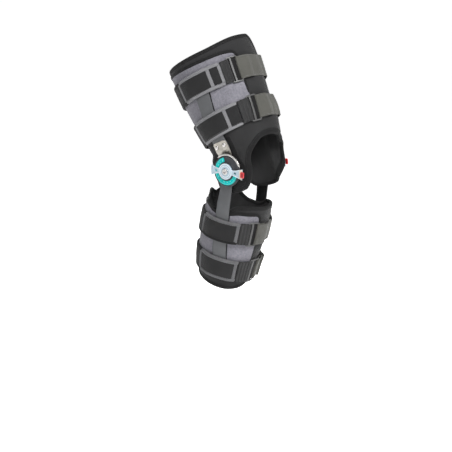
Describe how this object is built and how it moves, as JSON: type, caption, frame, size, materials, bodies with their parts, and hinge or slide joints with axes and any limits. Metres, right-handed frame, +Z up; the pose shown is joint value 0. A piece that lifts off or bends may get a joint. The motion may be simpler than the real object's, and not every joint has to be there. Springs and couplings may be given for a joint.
{
  "type": "hinged knee brace",
  "caption": "Knee brace with padded thigh and calf cuffs, buckled straps, side uprights and dial hinges with turning range stops.",
  "frame": {"origin": "middle of the knee, on the axis of both dial hinges", "axes": "+Z up along the leg, -Y to the front, -X to the outer side of a right leg"},
  "size_m": [0.202, 0.2471, 0.552],
  "materials": {
    "neoprene": "knit-faced foam, matt",
    "felt": "brushed loop felt",
    "belt": "padded knit, grey binding",
    "dark_webbing": "woven tape",
    "webbing": "hook and loop strap",
    "buckle": "moulded, satin",
    "grey_bar": "grey coated",
    "black_bar": "black coated",
    "steel": "satin",
    "rivet": "polished",
    "dial": "moulded, satin",
    "scale": "satin, pale marks",
    "lever": "moulded, glossy",
    "button": "moulded, glossy"
  },
  "bodies": {
    "thigh": {"thigh_wrap": "neoprene", "thigh_panel": "felt", "outer_thigh_bar": "grey_bar", "inner_thigh_bar": "black_bar", "outer_bracket": "steel", "outer_front_rivet": "rivet", "outer_back_rivet": "rivet", "outer_dial": "dial", "outer_scale_ring": "scale", "outer_pivot": "rivet", "inner_bracket": "steel", "inner_front_rivet": "rivet", "inner_back_rivet": "rivet", "inner_dial": "dial", "inner_scale_ring": "scale", "inner_pivot": "rivet", "upper_thigh_belt": "belt", "upper_thigh_fold": "dark_webbing", "upper_thigh_buckle": "buckle", "upper_thigh_web": "webbing", "lower_thigh_belt": "belt", "lower_thigh_fold": "dark_webbing", "lower_thigh_buckle": "buckle", "lower_thigh_web": "webbing"},
    "calf": {"calf_wrap": "neoprene", "calf_panel": "felt", "outer_calf_arm": "grey_bar", "inner_calf_arm": "black_bar", "upper_calf_belt": "belt", "upper_calf_fold": "dark_webbing", "upper_calf_buckle": "buckle", "upper_calf_web": "webbing", "lower_calf_belt": "belt", "lower_calf_fold": "dark_webbing", "lower_calf_buckle": "buckle", "lower_calf_web": "webbing"},
    "outer_back_stop": {"outer_back_stop_lever": "lever"},
    "outer_front_stop": {"outer_front_stop_lever": "lever", "outer_lock_button": "button"},
    "inner_back_stop": {"inner_back_stop_lever": "lever"},
    "inner_front_stop": {"inner_front_stop_lever": "lever", "inner_lock_button": "button"}
  },
  "joints": [
    {"name": "knee_hinge", "type": "hinge", "parent": "thigh", "child": "calf", "pos_m": [0, 0, 0], "axis": [1, 0, 0], "range_deg": [-35, 45]},
    {"name": "outer_back_stop_turn", "type": "hinge", "parent": "thigh", "child": "outer_back_stop", "pos_m": [0, 0, 0], "axis": [1, 0, 0], "range_deg": [-50, 50]},
    {"name": "outer_front_stop_turn", "type": "hinge", "parent": "thigh", "child": "outer_front_stop", "pos_m": [0, 0, 0], "axis": [1, 0, 0], "range_deg": [-50, 50]},
    {"name": "inner_back_stop_turn", "type": "hinge", "parent": "thigh", "child": "inner_back_stop", "pos_m": [0, 0, 0], "axis": [1, 0, 0], "range_deg": [-50, 50]},
    {"name": "inner_front_stop_turn", "type": "hinge", "parent": "thigh", "child": "inner_front_stop", "pos_m": [0, 0, 0], "axis": [1, 0, 0], "range_deg": [-50, 50]}
  ]
}
